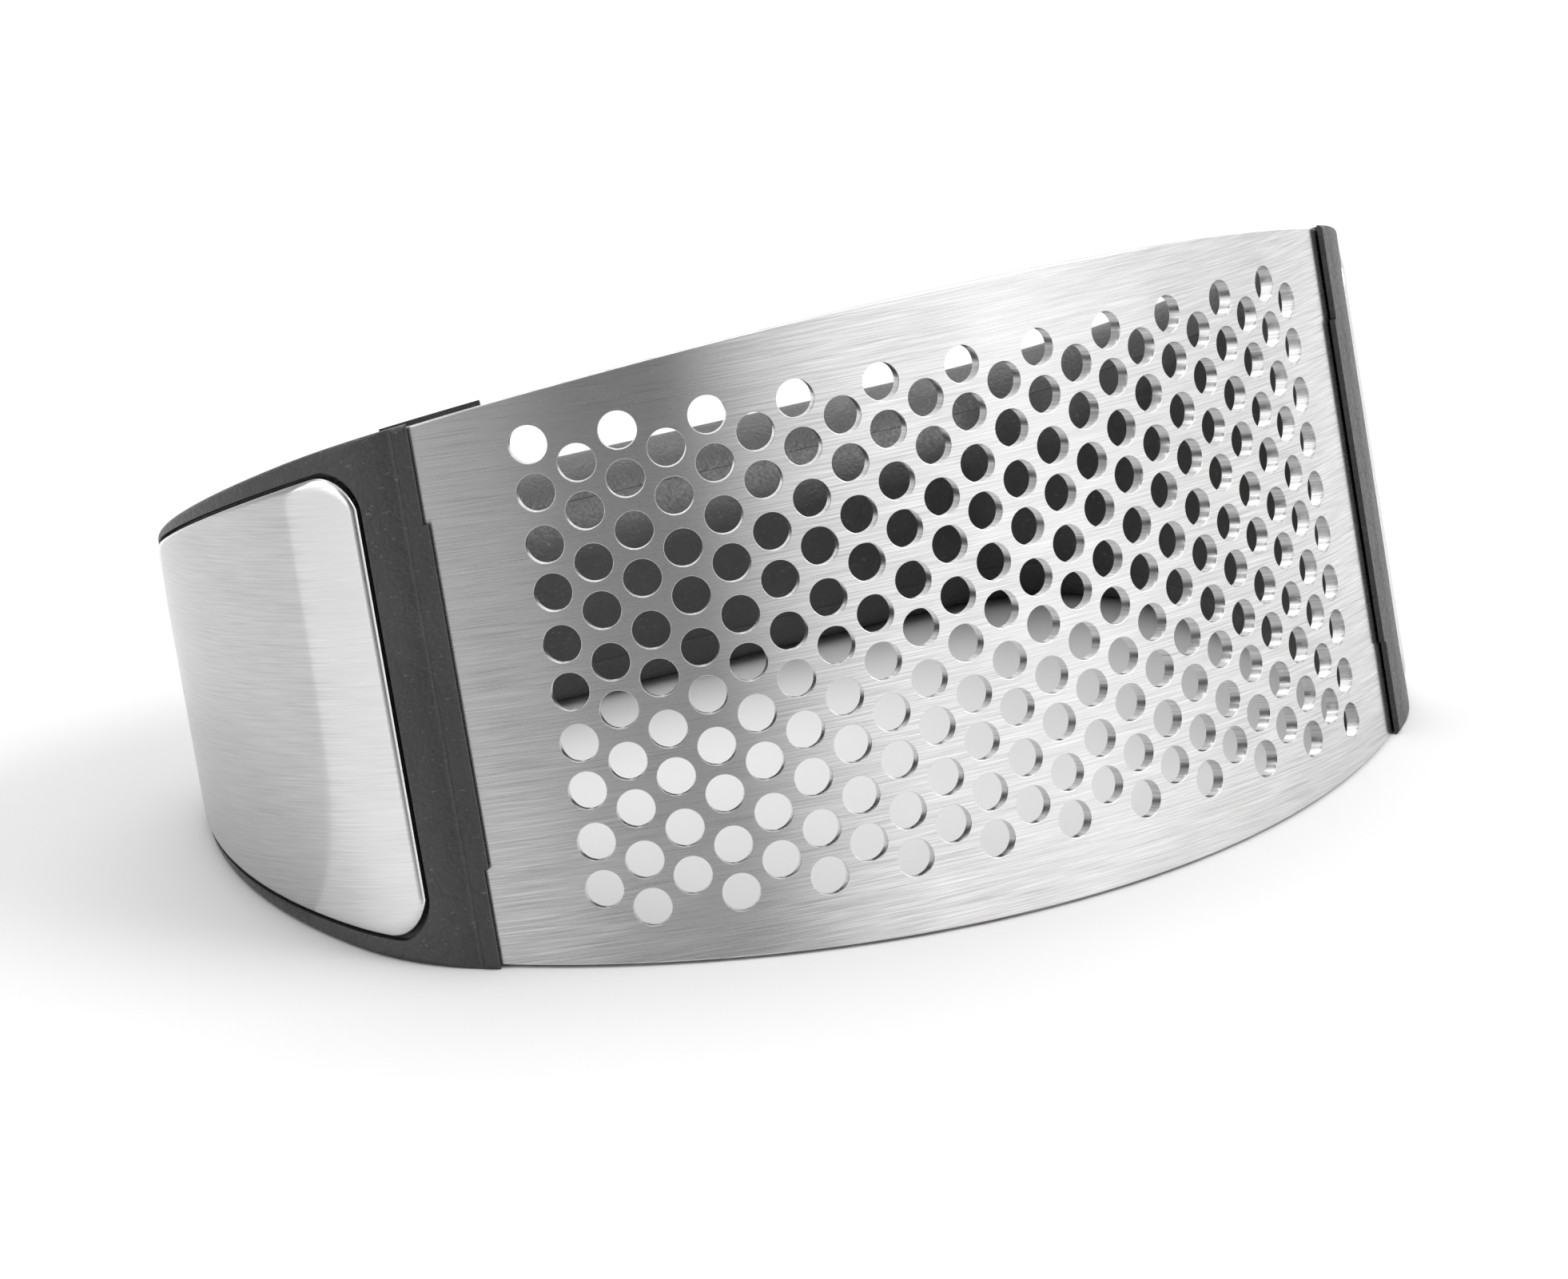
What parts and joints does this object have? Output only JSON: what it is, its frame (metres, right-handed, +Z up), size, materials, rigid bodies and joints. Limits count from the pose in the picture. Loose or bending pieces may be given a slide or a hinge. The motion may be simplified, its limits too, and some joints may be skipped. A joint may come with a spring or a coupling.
{
  "type": "garlic press",
  "caption": "Ring-shaped rocking garlic press: a curved perforated steel plate clamped in a black C-shaped grip faced with a steel band.",
  "frame": {"origin": "middle of the footprint, at the level of the surface that the press lies on", "axes": "the press lies on one of its flat side faces; +X along the perforated plate's length, +Y from the plate to the grip, +Z up"},
  "size_m": [0.1116, 0.0856, 0.0534],
  "materials": {
    "perforated_plate": "brushed along its length",
    "handle_frame": "fine spark-eroded grain, black",
    "grip_liner": "fine grain, black",
    "handle_cover": "brushed along its length, rolled edge",
    "cover_adhesive_film": "soft adhesive film, hidden",
    "liner_screws": "zinc plated"
  },
  "bodies": {
    "root": {"perforated_plate": "perforated_plate", "handle_frame": "handle_frame", "grip_liner": "grip_liner", "handle_cover": "handle_cover", "cover_adhesive_film": "cover_adhesive_film", "liner_screw_right_front": "liner_screws", "liner_screw_right_middle": "liner_screws", "liner_screw_right_back": "liner_screws", "liner_screw_left_front": "liner_screws", "liner_screw_left_middle": "liner_screws", "liner_screw_left_back": "liner_screws"}
  },
  "joints": []
}
